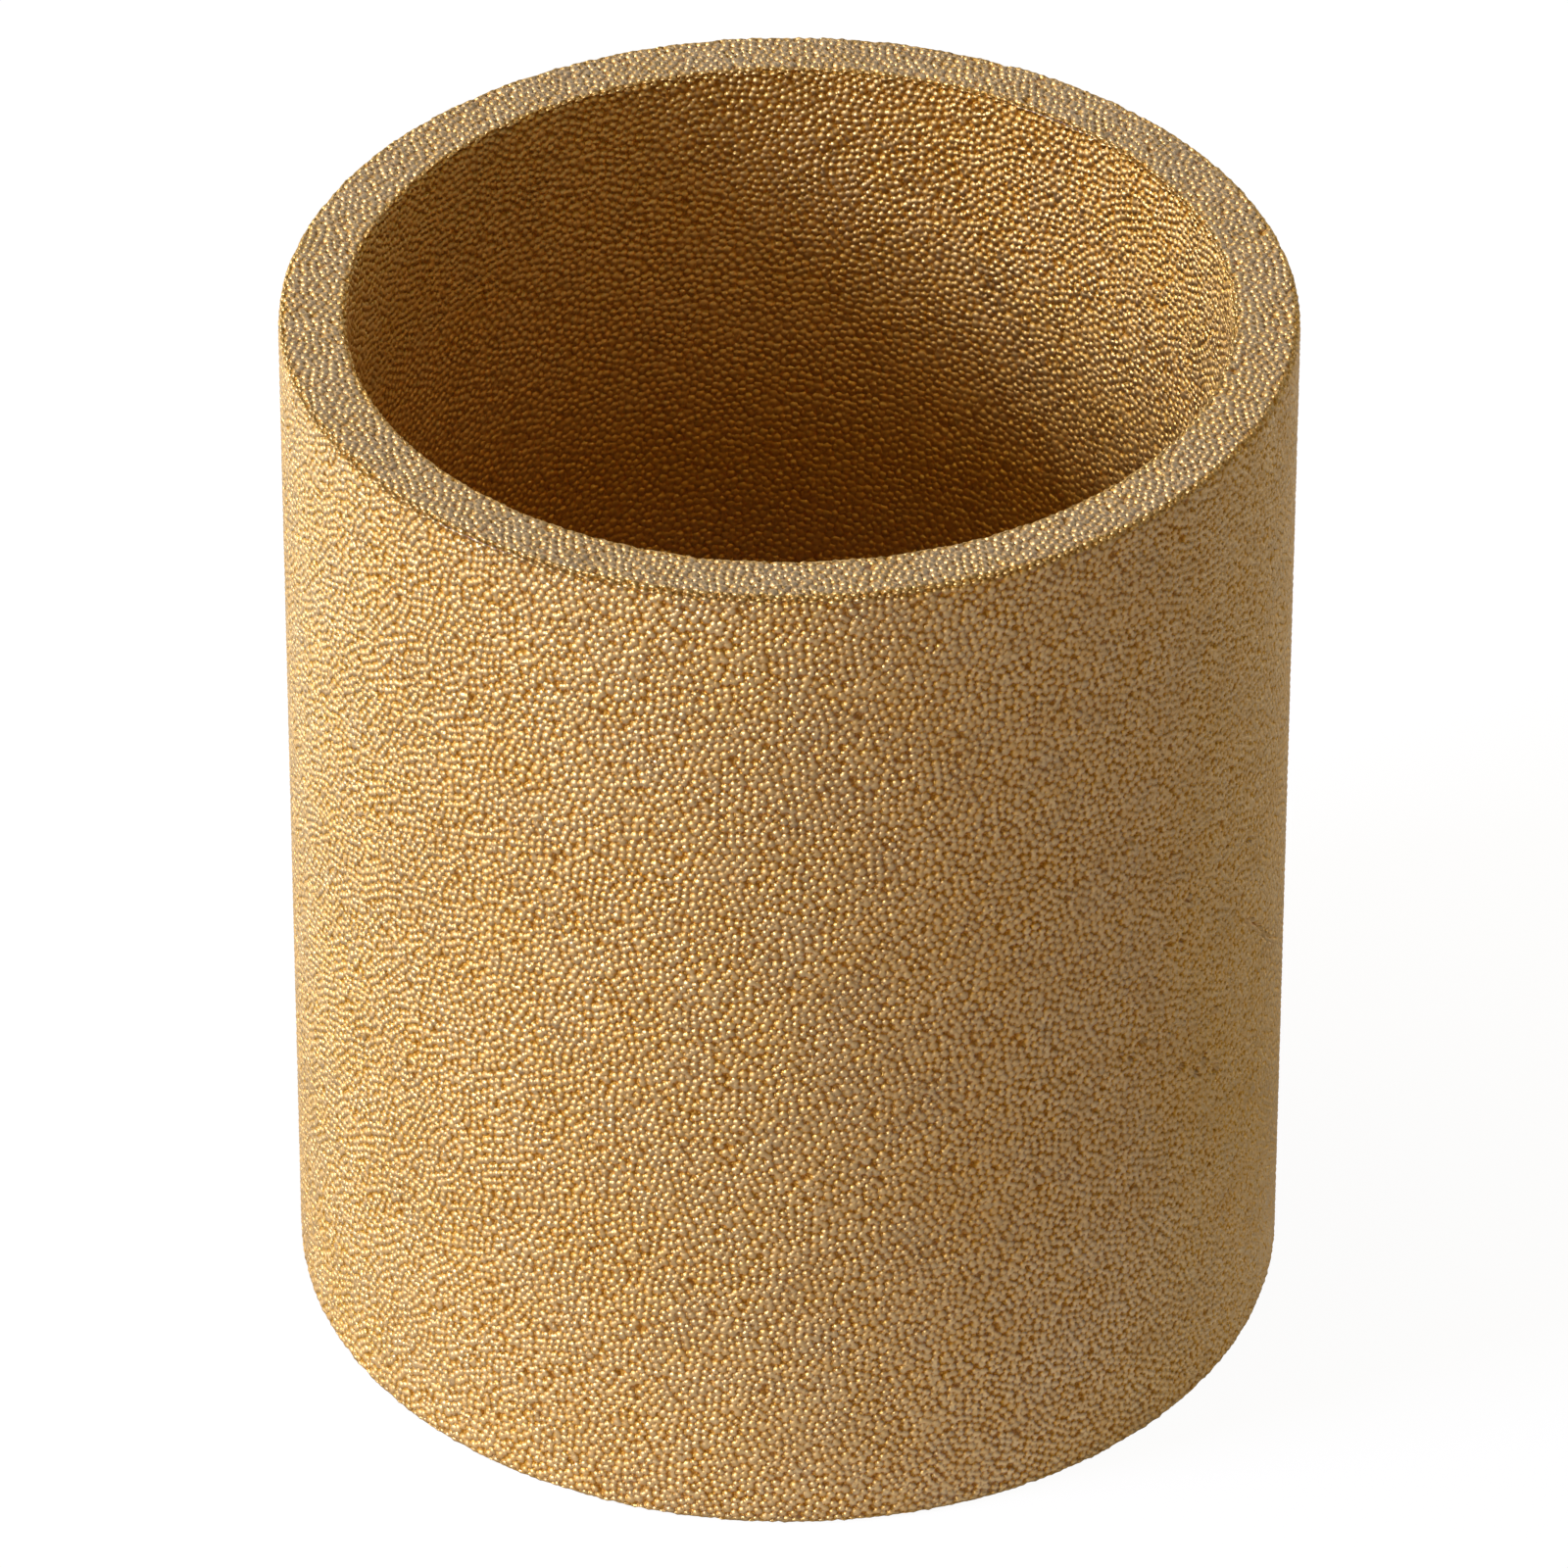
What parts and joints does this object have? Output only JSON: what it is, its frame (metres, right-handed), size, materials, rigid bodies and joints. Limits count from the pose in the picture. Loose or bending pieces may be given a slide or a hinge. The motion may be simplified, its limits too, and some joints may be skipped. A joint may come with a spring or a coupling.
{
  "type": "filter element",
  "caption": "Straight tube of sintered bronze balls, open at both ends, that filters air through its wall.",
  "frame": {"origin": "centre of the lower end face, on the tube's axis", "axes": "+Z along the tube's axis, up out of the upper end"},
  "size_m": [0.04, 0.04, 0.045],
  "materials": {
    "sintered_bronze": "satin bronze, grainy: a packing of fused balls about 0.37 mm across"
  },
  "bodies": {
    "root": {"filter_tube": "sintered_bronze"}
  },
  "joints": []
}
